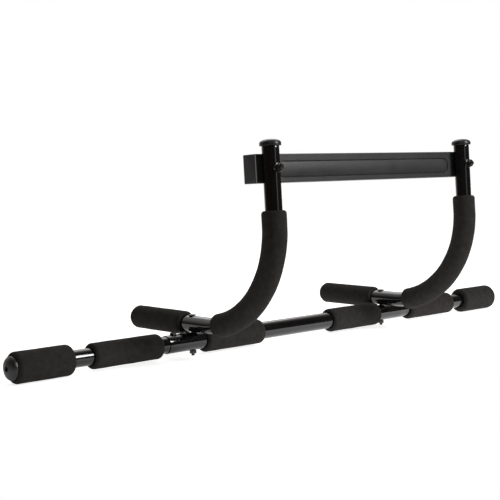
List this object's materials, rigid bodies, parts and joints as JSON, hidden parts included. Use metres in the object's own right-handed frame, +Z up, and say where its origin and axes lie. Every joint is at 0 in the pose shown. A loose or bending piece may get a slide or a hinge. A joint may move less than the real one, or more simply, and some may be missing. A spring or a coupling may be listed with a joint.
{
  "type": "doorway pull-up bar",
  "caption": "Doorway pull-up bar: black steel bar with foam grips, J-shaped arms ending in handles, and a moulded bracket that hooks over the trim above a door.",
  "frame": {"origin": "on the floor, below the middle of the whole object's box", "axes": "+X along the main bar, -Y towards the uprights and the bracket, +Y towards the handles, +Z up"},
  "size_m": [1.0884, 0.3369, 0.3238],
  "materials": {
    "steel": "gloss",
    "foam": "matte",
    "cap": "satin",
    "bracket": "satin",
    "fastener": "satin"
  },
  "bodies": {
    "root": {"centre_tube": "steel", "door_bracket": "bracket", "left_end_bar": "steel", "left_arm_tube": "steel", "left_end_grip": "foam", "left_wide_grip": "foam", "left_inner_grip": "foam", "left_handle_grip": "foam", "left_arm_pad": "foam", "left_bar_end_cap": "cap", "left_handle_end_cap": "cap", "left_arm_top_cap": "cap", "left_crossing_bolt": "fastener", "left_crossing_nut": "fastener", "left_lock_screw_1": "fastener", "left_lock_screw_2": "fastener", "left_bracket_bolt": "fastener", "left_saddle_washer": "fastener", "left_bracket_nut": "fastener", "right_end_bar": "steel", "right_arm_tube": "steel", "right_end_grip": "foam", "right_wide_grip": "foam", "right_inner_grip": "foam", "right_handle_grip": "foam", "right_arm_pad": "foam", "right_bar_end_cap": "cap", "right_handle_end_cap": "cap", "right_arm_top_cap": "cap", "right_crossing_bolt": "fastener", "right_crossing_nut": "fastener", "right_lock_screw_1": "fastener", "right_lock_screw_2": "fastener", "right_bracket_bolt": "fastener", "right_saddle_washer": "fastener", "right_bracket_nut": "fastener"}
  },
  "joints": []
}
